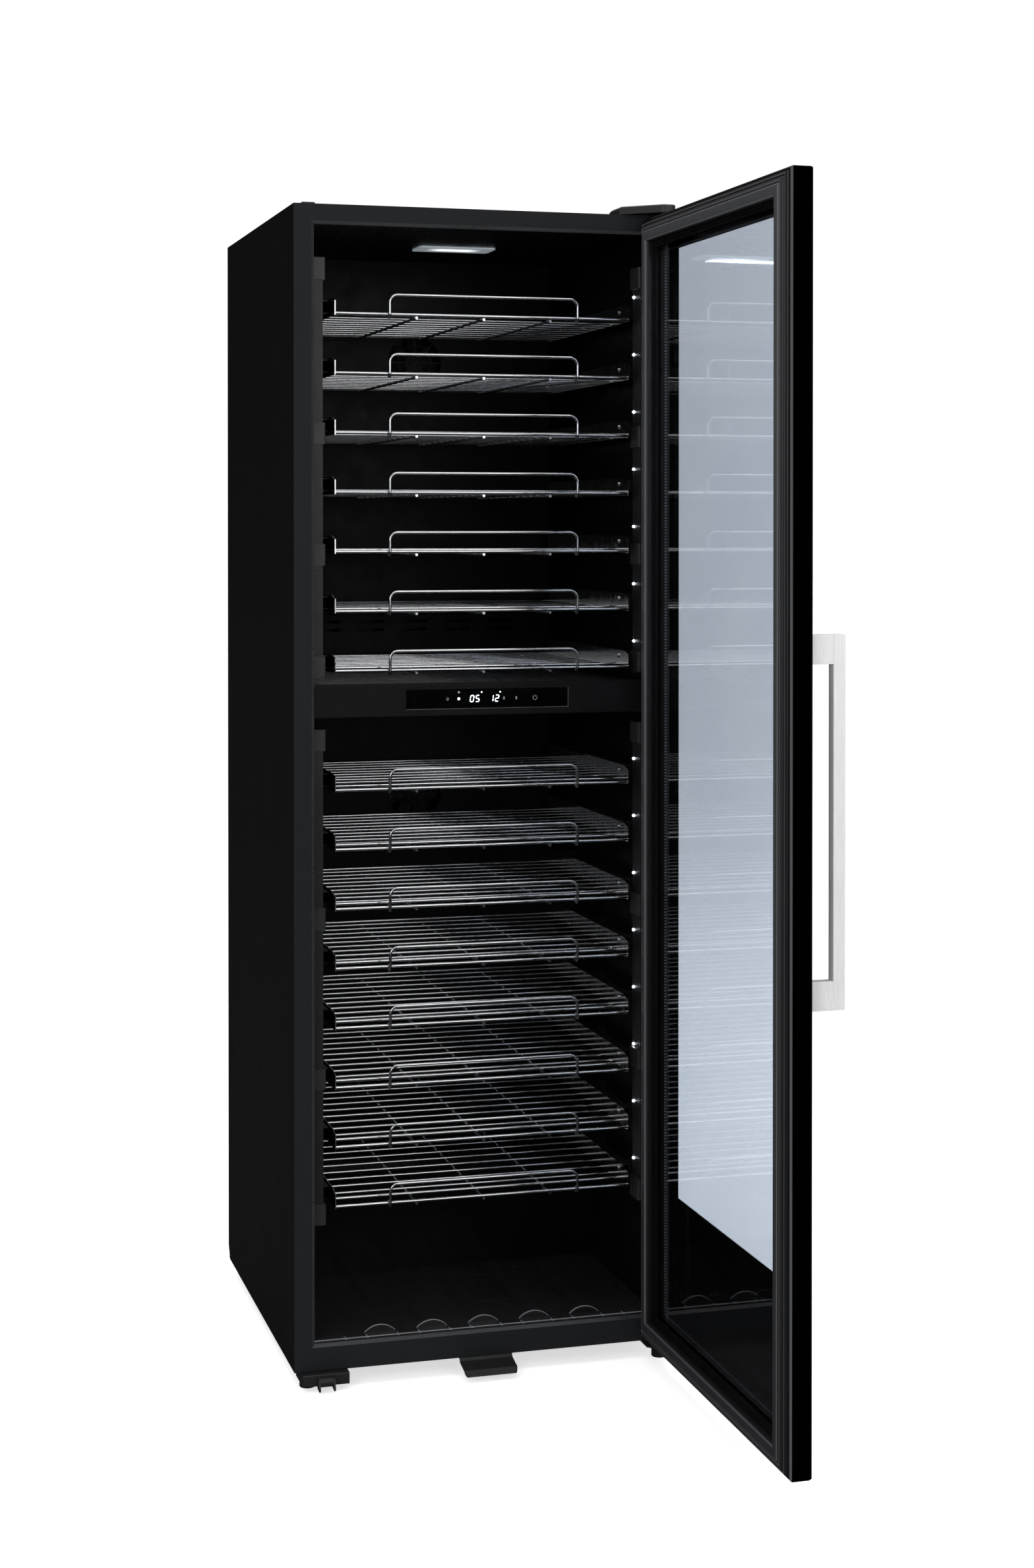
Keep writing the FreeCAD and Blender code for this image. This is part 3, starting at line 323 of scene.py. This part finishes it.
def gasket_rubber():
    """Soft black lip with painted light: a painted highlight on its crests and ribs, painted
    shade in the grooves and, growing, towards the floor.
    """
    look = Look("gasket_rubber", Specular_IOR_Level=0.35)
    low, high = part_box("door_gasket")
    dust = look.noise(1500.0, 3.0, 0.7)
    speck = look.span(look.noise(420.0, 2.0), 0.72, 0.8)
    # Painted highlight on the raised crest, scaled down towards the floor as painted shade; the
    # groove colour is painted shade.
    height = look.span(look.xyz[0], low.x + 0.0002, low.x + 0.0075, 1.0, 0.0)
    crest_highlight = look.both(look.math("POWER", height, 1.6),
                      look.span(look.xyz[2], 0.1, 1.5, 0.35, 1.0))
    groove_shade = look.blend(look.span(dust, 0.35, 0.7),
                        (0.0045, 0.0047, 0.0053), (0.008, 0.0083, 0.009))
    ridge_highlight = look.blend(look.span(dust, 0.35, 0.7),
                       (0.033, 0.034, 0.037), (0.052, 0.053, 0.057))
    sides = [look.minus(look.xyz[axis], low[axis]) for axis in (1, 2)]
    sides += [look.minus(high[axis], look.xyz[axis]) for axis in (1, 2)]
    inwards = look.math("MINIMUM", look.math("MINIMUM", *sides[:2]),
                        look.math("MINIMUM", *sides[2:]))
    # Thin painted highlight lines along the ribs.
    ribs = None
    for place in GASKET_RIB_HIGHLIGHTS:
        rib_highlight = look.within_value(inwards, place, 0.0006, 0.0003)
        ribs = rib_highlight if ribs is None else look.math("MAXIMUM", ribs, rib_highlight)
    tone = look.blend(look.both(ribs, 0.6), look.blend(crest_highlight, groove_shade, ridge_highlight), (0.13, 0.132, 0.14))
    look.set("Base Color", look.blend(look.both(speck, 0.3), tone, (0.09, 0.09, 0.095)))
    look.set("Roughness", look.spread(look.noise(30.0), 0.3, 0.42))
    look.bump(look.noise(700.0, 3.0), 0.00005, 0.4)
    return look


STOP_PITCH, STOP_RADIUS = 0.0806, 0.03278    # the crescent stops and their round rims


def tray_plastic():
    """Black tray with a painted highlight on the rims of the crescent stops and on the top of the
    front lip.
    """
    look = moulded("tray_plastic", (0.0120, 0.0122, 0.0130), 0.24, 300.0, 0.000002, 0.4)
    low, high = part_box("bottle_tray")
    number = look.math("DIVIDE", look.minus(look.xyz[0], MID_X), STOP_PITCH)
    turn = look.math("FRACT", look.math("ADD", number, 0.5))
    side = look.both(look.minus(turn, 0.5), STOP_PITCH)
    rise = look.minus(look.xyz[2], high.z - STOP_RADIUS)
    square = look.math("ADD", look.both(side, side), look.both(rise, rise))
    rim = look.within_value(look.math("SQRT", square), STOP_RADIUS, 0.0009, 0.0003)
    raised = look.span(look.xyz[2], low.z + 0.0034, low.z + 0.0040)
    lip = look.span(look.xyz[1], low.y + 0.0030, low.y + 0.0036, 1.0, 0.0)
    stops = look.both(rim, raised)
    lip_top = look.span(look.xyz[2], low.z + 0.0042, low.z + 0.0048)
    # Painted highlight on the stop rims and the top of the front lip.
    bright = look.math("MAXIMUM", stops, look.both(lip, lip_top))
    look.set("Base Color", look.blend(bright, look.source(), (0.26, 0.275, 0.30)))
    return look


def foam():
    look = Look("foam", Roughness=0.9)
    bubbles = look.cells(420.0)
    tone = look.blend(look.span(bubbles, 0.0, 0.6), (0.62, 0.53, 0.32), (0.83, 0.75, 0.52))
    look.set("Base Color", tone)
    look.bump(bubbles, 0.0006, 0.7)
    return look


def galvanised(name, colour):
    look = bare_metal(name, colour, 0.42, grain=80.0, depth=0.00001)
    flakes = look.span(look.cells(60.0), 0.0, 0.7)
    look.set("Base Color", look.blend(flakes, shade(colour, 0.75), shade(colour, 1.1)))
    return look


def handle_metal():
    """Pale brushed aluminium, grained along the bar."""
    look = bare_metal("handle_metal", (0.80, 0.80, 0.795), 0.42, (1.0, 1.0, 0.03), 900.0, 0.00003)
    look.set("Metallic", 0.3)
    return look


def door_plastic():
    """Satin inner face; the free edge is painted near black with no sheen, painted shade, and
    ends in a thin chamfer with a painted highlight.
    """
    look = moulded("door_frame_plastic", (0.0034, 0.0035, 0.0039), 0.36, 2400.0, 0.00002, 0.14)
    low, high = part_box("door_frame")
    satin_and_lit_grey = look.source()
    # Painted shade: the free edge is made near black and without sheen; the chamfer beside it
    # gets a painted highlight.
    edge = look.span(look.xyz[1], low.y + 0.0002, low.y + 0.0004, 1.0, 0.0)
    steps = look.math("ADD", look.xyz[0], look.xyz[1])
    chamfer = look.within_value(steps, low.x + low.y + 0.0025, 0.0003)
    dark = look.blend(edge, satin_and_lit_grey, (0.0002, 0.0002, 0.0002))
    look.set("Base Color", look.blend(chamfer, dark, (0.055, 0.057, 0.062)))
    look.set("Specular IOR Level", look.span(edge, 0.0, 1.0, 0.14, 0.0))
    return look


looks = {
    "side": side_sheet(),
    # Painted light: the front wears a lighter, lit copy of the black side paint.
    "front": painted("front_sheet", (0.0130, 0.0138, 0.0156), 0.36, 0.05, 0.012),
    "trim": moulded("trim_plastic", (0.030, 0.031, 0.033), 0.3, specular=0.4),
    "galvanised": galvanised("galvanised_sheet", (0.52, 0.54, 0.56)),
    "foam": foam(),
    "liner": moulded("liner_plastic", (0.0032, 0.0033, 0.0038), 0.3, 1500.0, 0.00002, 0.12),
    "tray": tray_plastic(),
    "fascia": moulded("fascia_plastic", (0.0036, 0.0037, 0.0041), 0.36, 2600.0, 0.00003, 0.12),
    "window": moulded("window_plastic", (0.0006, 0.0007, 0.0009), 0.12, 90.0, 0.0, 0.07),
    "board": moulded("circuit_board", (0.01, 0.09, 0.035), 0.4, 500.0, 0.0001),
    "lamp": lamp_lens(),
    "column": moulded("column_plastic", (0.0105, 0.0107, 0.0117), 0.34, specular=0.35),
    "clip": moulded("clip_plastic", (0.0180, 0.0183, 0.0195), 0.34, specular=0.4),
    "led": led_lens(),
    "rail": moulded("rail_plastic", (0.007, 0.0072, 0.008), 0.3, specular=0.4),
    "shelf": shelf_metal(),
    "duct": moulded("duct_plastic", (0.0034, 0.0035, 0.0040), 0.36, specular=0.12),
    "fins": bare_metal("fin_aluminium", (0.78, 0.79, 0.8), 0.35, (1.0, 1.0, 8.0)),
    "black": moulded("black_plastic", (0.0085, 0.0087, 0.0093), 0.42),
    "compressor": painted("compressor_paint", (0.009, 0.009, 0.01), 0.25, 0.5),
    "condenser": painted("condenser_paint", (0.013, 0.013, 0.014), 0.35, 0.5),
    "bracket": painted("bracket_paint", (0.011, 0.011, 0.012), 0.36),
    "cap": moulded("cap_plastic", (0.012, 0.0122, 0.013), 0.4, 1500.0, 0.00005, 0.4),
    "seat": moulded("seat_plastic", (0.010, 0.0103, 0.011), 0.45, 1300.0, 0.00009, 0.4),
    "foot": moulded("foot_plastic", (0.008, 0.008, 0.009), 0.35, specular=0.45),
    "door_frame": door_plastic(),
    "outer_glass": outer_glass(),
    "inner_glass": inner_glass(),
    "spacer": spacer(),
    "gasket": gasket_rubber(),
    "handle": handle_metal(),
}
worn_by = {
    "side": ("left_side_panel", "right_side_panel"),
    "front": ("top_panel", "front_bottom_rail"),
    "trim": ("throat_trim",),
    "galvanised": ("base_plate", "back_panel", "roller_brackets"),
    "foam": ("insulation_foam",),
    "liner": ("inner_liner", "zone_divider"),
    "tray": ("bottle_tray",),
    "fascia": ("control_fascia",),
    "window": ("control_window",),
    "board": ("control_board",),
    "lamp": ("ceiling_lamps",),
    "column": ("light_columns",),
    "clip": ("column_clips",),
    "led": ("led_lenses",),
    "rail": ("shelf_rails",),
    "shelf": tuple("shelf_%02d" % n for n in range(1, 16)),
    "duct": ("air_duct_covers",),
    "fins": ("evaporators",),
    "black": ("fan_motors", "upper_fan", "lower_fan", "drip_tray", "rear_grille", "power_inlet",
              "rear_roller_left", "rear_roller_right", "hinge_bushes"),
    "compressor": ("compressor",),
    "condenser": ("condenser",),
    "bracket": ("hinge_brackets",),
    "cap": ("top_caps",),
    "seat": ("spare_hinge_seat", "door_support_ramp"),
    "foot": ("foot_left", "foot_right"),
    "door_frame": ("door_frame",),
    "outer_glass": ("door_outer_glass",),
    "inner_glass": ("door_inner_glass",),
    "spacer": ("glass_spacer",),
    "gasket": ("door_gasket",),
    "handle": ("door_handle",),
}
for key, names in worn_by.items():
    for name in names:
        slots = nodes[name].data.materials
        slots.clear()
        slots.append(looks[key].material)


# ---- small pieces on the control window ------------------------------------------------
def mesh_piece(name, build, look, body):
    mesh = bpy.data.meshes.new(name)
    bm = bmesh.new()
    build(bm)
    bmesh.ops.recalc_face_normals(bm, faces=bm.faces)
    bm.to_mesh(mesh)
    bm.free()
    piece = bpy.data.objects.new(name, mesh)
    bpy.context.scene.collection.objects.link(piece)
    mesh.materials.append(look.material)
    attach(piece, body)


WINDOW_FACE = WINDOW_LOW.y - 0.00002
PRINT_T = 0.0001
RING_WIDTH = 0.0005
window_mid_x = (WINDOW_LOW.x + WINDOW_HIGH.x) / 2
window_mid_z = (WINDOW_LOW.z + WINDOW_HIGH.z) / 2


def slab(bm, outline):
    """Thin print standing off the window; outline holds (x, z) pairs."""
    back = [bm.verts.new((x, WINDOW_FACE, z)) for x, z in outline]
    front = [bm.verts.new((x, WINDOW_FACE - PRINT_T, z)) for x, z in outline]
    count = len(outline)
    bm.faces.new(front)
    bm.faces.new(list(reversed(back)))
    for i in range(count):
        j = (i + 1) % count
        bm.faces.new((front[i], back[i], back[j], front[j]))


def bar(bm, x0, x1, z0, z1):
    slab(bm, [(x0, z0), (x1, z0), (x1, z1), (x0, z1)])


def on_circle(x, z, radius, angle):
    return x + radius * math.cos(angle), z + radius * math.sin(angle)


def disc(bm, x, z, radius, count=20):
    steps = [2 * math.pi * i / count for i in range(count)]
    slab(bm, [on_circle(x, z, radius, a) for a in steps])


def ring(bm, x, z, radius, start=0.0, end=2 * math.pi, count=24):
    """Arc of a ring, made of short plates that stand end to end."""
    outer, inner = radius + RING_WIDTH / 2, radius - RING_WIDTH / 2
    for i in range(count):
        a = start + (end - start) * i / count
        b = start + (end - start) * (i + 1) / count
        slab(bm, [on_circle(x, z, inner, a), on_circle(x, z, outer, a),
                  on_circle(x, z, outer, b), on_circle(x, z, inner, b)])


DIGIT_W, DIGIT_H, BAR = 0.0064, 0.0108, 0.0014
SEGMENT_GAP = 0.00025
SLANT = 0.12
SEGMENTS = {"0": "abcdef", "5": "afgcd", "1": "bc", "2": "abged"}


def segment_outline(kind):
    """Centre line ends of one segment, for a digit centred on the origin."""
    w, h = DIGIT_W / 2 - BAR / 2, DIGIT_H / 2 - BAR / 2
    ends = {"a": ((-w, h), (w, h)), "b": ((w, h), (w, 0)), "c": ((w, 0), (w, -h)),
            "d": ((-w, -h), (w, -h)), "e": ((-w, 0), (-w, -h)), "f": ((-w, h), (-w, 0)),
            "g": ((-w, 0), (w, 0))}
    return ends[kind]


def digit(bm, x, z, value):
    for kind in SEGMENTS[value]:
        (x0, z0), (x1, z1) = segment_outline(kind)
        along = Vector((x1 - x0, z1 - z0)).normalized()
        side = Vector((-along.y, along.x)) * BAR / 2
        a = Vector((x0, z0)) + along * SEGMENT_GAP
        b = Vector((x1, z1)) - along * SEGMENT_GAP
        tip = along * BAR / 2
        corners = [a, a + tip + side, b - tip + side, b, b - tip - side, a + tip - side]
        slab(bm, [(x + p.x + SLANT * p.y, z + p.y) for p in corners])


def lit(name, colour, strength):
    look = Look(name, Roughness=0.3)
    uneven = look.span(look.noise(900.0, 2.0), 0.2, 0.8)
    look.set("Base Color", look.blend(uneven, shade(colour, 0.85), colour))
    look.set("Emission Color", look.blend(uneven, shade(colour, 0.85), colour))
    look.set("Emission Strength", look.span(uneven, 0.0, 1.0, strength * 0.9, strength * 1.1))
    return look


lit_white = lit("lit_white", (0.86, 0.93, 1.0), 2.6)
# The printed touch marks get a faint painted glow.
print_grey_painted_glow = lit("print_grey_painted_glow", (0.30, 0.31, 0.33), 0.22)


def display(bm):
    """Two plain temperatures, their degree marks and one lit lamp."""
    first = window_mid_x - 0.0245
    for offset, value in ((0.0, "0"), (0.0086, "5"), (0.0305, "1"), (0.0391, "2")):
        digit(bm, first + offset, window_mid_z, value)
    disc(bm, first - 0.0206, window_mid_z, 0.0021)
    for offset in (0.0150, 0.0440):
        disc(bm, first + offset, window_mid_z + 0.0095, 0.0011)


ARROW_HALF, ARROW_NEAR, ARROW_FAR = 0.0018, 0.0006, 0.0026


def icons(bm):
    """Generic touch marks: a dot, a lamp, two pairs of arrows and a power ring."""
    mid = window_mid_z
    disc(bm, window_mid_x - 0.0451, mid + 0.0098, 0.0016)
    x = window_mid_x - 0.0625
    ring(bm, x, mid + 0.0004, 0.0016)
    bar(bm, x - 0.0009, x + 0.0009, mid - 0.0024, mid - 0.0018)
    for x in (window_mid_x + 0.0255, window_mid_x + 0.0450):
        left, right = x - ARROW_HALF, x + ARROW_HALF
        slab(bm, [(left, mid + ARROW_NEAR), (right, mid + ARROW_NEAR), (x, mid + ARROW_FAR)])
        slab(bm, [(left, mid - ARROW_NEAR), (x, mid - ARROW_FAR), (right, mid - ARROW_NEAR)])
    x = window_mid_x + 0.0745
    ring(bm, x, mid, 0.0033, math.radians(120), math.radians(420), 30)
    bar(bm, x - 0.00025, x + 0.00025, mid + 0.0008, mid + 0.0044)


def bezel(bm):
    """Thin bevelled frame around the window, standing a little proud of the fascia."""
    x0, x1 = WINDOW_LOW.x, WINDOW_HIGH.x
    z0, z1 = WINDOW_LOW.z, WINDOW_HIGH.z
    profile = ((-0.0002, FASCIA_Y + 0.0004), (-0.0002, FASCIA_Y - 0.0002),
               (0.0007, FASCIA_Y + 0.0003))
    rings = []
    for inset, y in profile:
        corners = ((x0 + inset, z0 + inset), (x1 - inset, z0 + inset),
                   (x1 - inset, z1 - inset), (x0 + inset, z1 - inset))
        rings.append([bm.verts.new((x, y, z)) for x, z in corners])
    for k in range(3):
        for i in range(4):
            j = (i + 1) % 4
            a, b = rings[k], rings[(k + 1) % 3]
            bm.faces.new((a[i], a[j], b[j], b[i]))


bezel_look = bare_metal("bezel_metal", (0.12, 0.125, 0.135), 0.3, (0.1, 1.0, 1.0), 900.0)
mesh_piece("display_digits", display, lit_white, "cabinet")
mesh_piece("touch_marks", icons, print_grey_painted_glow, "cabinet")
mesh_piece("window_bezel", bezel, bezel_look, "cabinet")

# ---- floor, world and lights -----------------------------------------------------------
# The camera sees a white studio. What the object mirrors is darker, and brightest at the front,
# as with the large soft lamps and dark walls of a photographer's studio.
FLOOR_RADIUS = 40.0
FLOOR_DROP = 0.0002                    # just under the feet
FLOOR_GLOW, FLOOR_GLOW_MIRRORED = 0.64, 0.01
WORLD_SEEN, WORLD_FILL = 1.05, 0.42    # strength to the camera, and as light on matt faces
WORLD_MIRRORED = (0.008, 0.38)         # strength in reflections, at the back and at the front

floor_mesh = bpy.data.meshes.new("floor")
floor_bm = bmesh.new()
bmesh.ops.create_circle(floor_bm, cap_ends=True, segments=96, radius=FLOOR_RADIUS)
floor_bm.to_mesh(floor_mesh)
floor_bm.free()
floor = bpy.data.objects.new("floor", floor_mesh)
floor.location = (MID_X, 0.0, -FLOOR_DROP)
bpy.context.scene.collection.objects.link(floor)
floor_look = Look("floor_paint", Roughness=0.9, Specular_IOR_Level=0.1)
floor_path = floor_look.tree.nodes.new("ShaderNodeLightPath").outputs
in_mirror = floor_look.math("SUBTRACT", floor_path["Glossy Depth"],
                            floor_path["Is Diffuse Ray"], True)
pale = floor_look.blend(floor_look.spread(floor_look.noise(2.0)),
                        (0.93, 0.93, 0.93), (0.95, 0.95, 0.95))
floor_look.set("Base Color", floor_look.blend(in_mirror, pale, (0.02, 0.021, 0.023)))
floor_look.set("Emission Color", (1.0, 1.0, 1.0))
floor_look.set("Emission Strength",
               floor_look.span(in_mirror, 0.0, 1.0, FLOOR_GLOW, FLOOR_GLOW_MIRRORED))
floor_mesh.materials.append(floor_look.material)

world = bpy.data.worlds.new("studio")
bpy.context.scene.world = world
world.use_nodes = True
tree = world.node_tree
tree.nodes.clear()


def world_node(kind, **values):
    node = tree.nodes.new(kind)
    for key, value in values.items():
        setattr(node, key, value)
    return node


out = world_node("ShaderNodeOutputWorld")
coords = world_node("ShaderNodeTexCoord")
split = world_node("ShaderNodeSeparateXYZ")
tree.links.new(coords.outputs["Generated"], split.inputs[0])
toward_front = world_node("ShaderNodeMapRange", interpolation_type="SMOOTHSTEP")
tree.links.new(split.outputs["Y"], toward_front.inputs["Value"])
for key, value in (("From Min", 0.15), ("From Max", -0.95),
                   ("To Min", WORLD_MIRRORED[0]), ("To Max", WORLD_MIRRORED[1])):
    toward_front.inputs[key].default_value = value
white = world_node("ShaderNodeBackground")
white.inputs["Color"].default_value = (1.0, 1.0, 1.0, 1.0)
mirrored = world_node("ShaderNodeBackground")
mirrored.inputs["Color"].default_value = (0.94, 0.97, 1.0, 1.0)
tree.links.new(toward_front.outputs[0], mirrored.inputs["Strength"])
path = world_node("ShaderNodeLightPath")
fill = world_node("ShaderNodeMapRange")
tree.links.new(path.outputs["Is Diffuse Ray"], fill.inputs["Value"])
fill.inputs["To Min"].default_value = WORLD_SEEN
fill.inputs["To Max"].default_value = WORLD_FILL
tree.links.new(fill.outputs[0], white.inputs["Strength"])
mix = world_node("ShaderNodeMixShader")
reflected = world_node("ShaderNodeMath", operation="SUBTRACT", use_clamp=True)
tree.links.new(path.outputs["Glossy Depth"], reflected.inputs[0])
tree.links.new(path.outputs["Is Diffuse Ray"], reflected.inputs[1])
tree.links.new(reflected.outputs[0], mix.inputs[0])
tree.links.new(white.outputs[0], mix.inputs[1])
tree.links.new(mirrored.outputs[0], mix.inputs[2])
tree.links.new(mix.outputs[0], out.inputs[0])


def area_light(name, place, aim, size, energy, colour=(1.0, 1.0, 1.0), size_y=None):
    data = bpy.data.lights.new(name, "AREA")
    data.energy = energy
    data.color = colour
    data.size = size
    if size_y:
        data.shape = "RECTANGLE"
        data.size_y = size_y
    light = bpy.data.objects.new(name, data)
    light.location = place
    light.rotation_euler = (Vector(aim) - Vector(place)).to_track_quat("-Z", "Y").to_euler()
    bpy.context.scene.collection.objects.link(light)
    return light


area_light("softbox_top", (0.3, 0.5, 4.6), (0.3, 0.2, 0.0), 5.0, 170.0)
area_light("softbox_left", (-2.4, -3.2, 2.6), (0.2, 0.0, 1.1), 1.6, 38.0, size_y=2.4)
area_light("softbox_front", (1.6, -4.4, 2.2), (0.3, 0.2, 1.0), 1.6, 26.0, size_y=2.4)
lamp_low, lamp_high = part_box("ceiling_lamps")
lamp_x, lamp_y = (lamp_low.x + lamp_high.x) / 2, (lamp_low.y + lamp_high.y) / 2
for name, z in (("upper_zone_lamp", lamp_high.z - 0.006),
                ("lower_zone_lamp", lamp_low.z - 0.003)):
    lamp = area_light(name, (lamp_x, lamp_y, z), (lamp_x, lamp_y, 0.0), 0.09, 0.2,
                      (0.86, 0.94, 1.0), 0.035)
    lamp.visible_glossy = False

# ---- camera --------------------------------------------------------------------------------
CAMERA_PLACE = (-0.9735 + MID_X, -3.898 + MID_Y, 1.280)    # from the fit to the photo
CAMERA_DOWN, CAMERA_TURN = 0.54, -15.9                     # degrees
camera_data = bpy.data.cameras.new("camera")
camera_data.sensor_width = 36.0
camera_data.lens = 56.59
camera_data.shift_x = -0.0020
camera_data.shift_y = -0.1485
camera = bpy.data.objects.new("camera", camera_data)
camera.location = CAMERA_PLACE
camera.rotation_euler = (math.radians(90 - CAMERA_DOWN), 0.0, math.radians(CAMERA_TURN))
bpy.context.scene.collection.objects.link(camera)
bpy.context.scene.camera = camera
bpy.context.scene.view_settings.view_transform = "Standard"
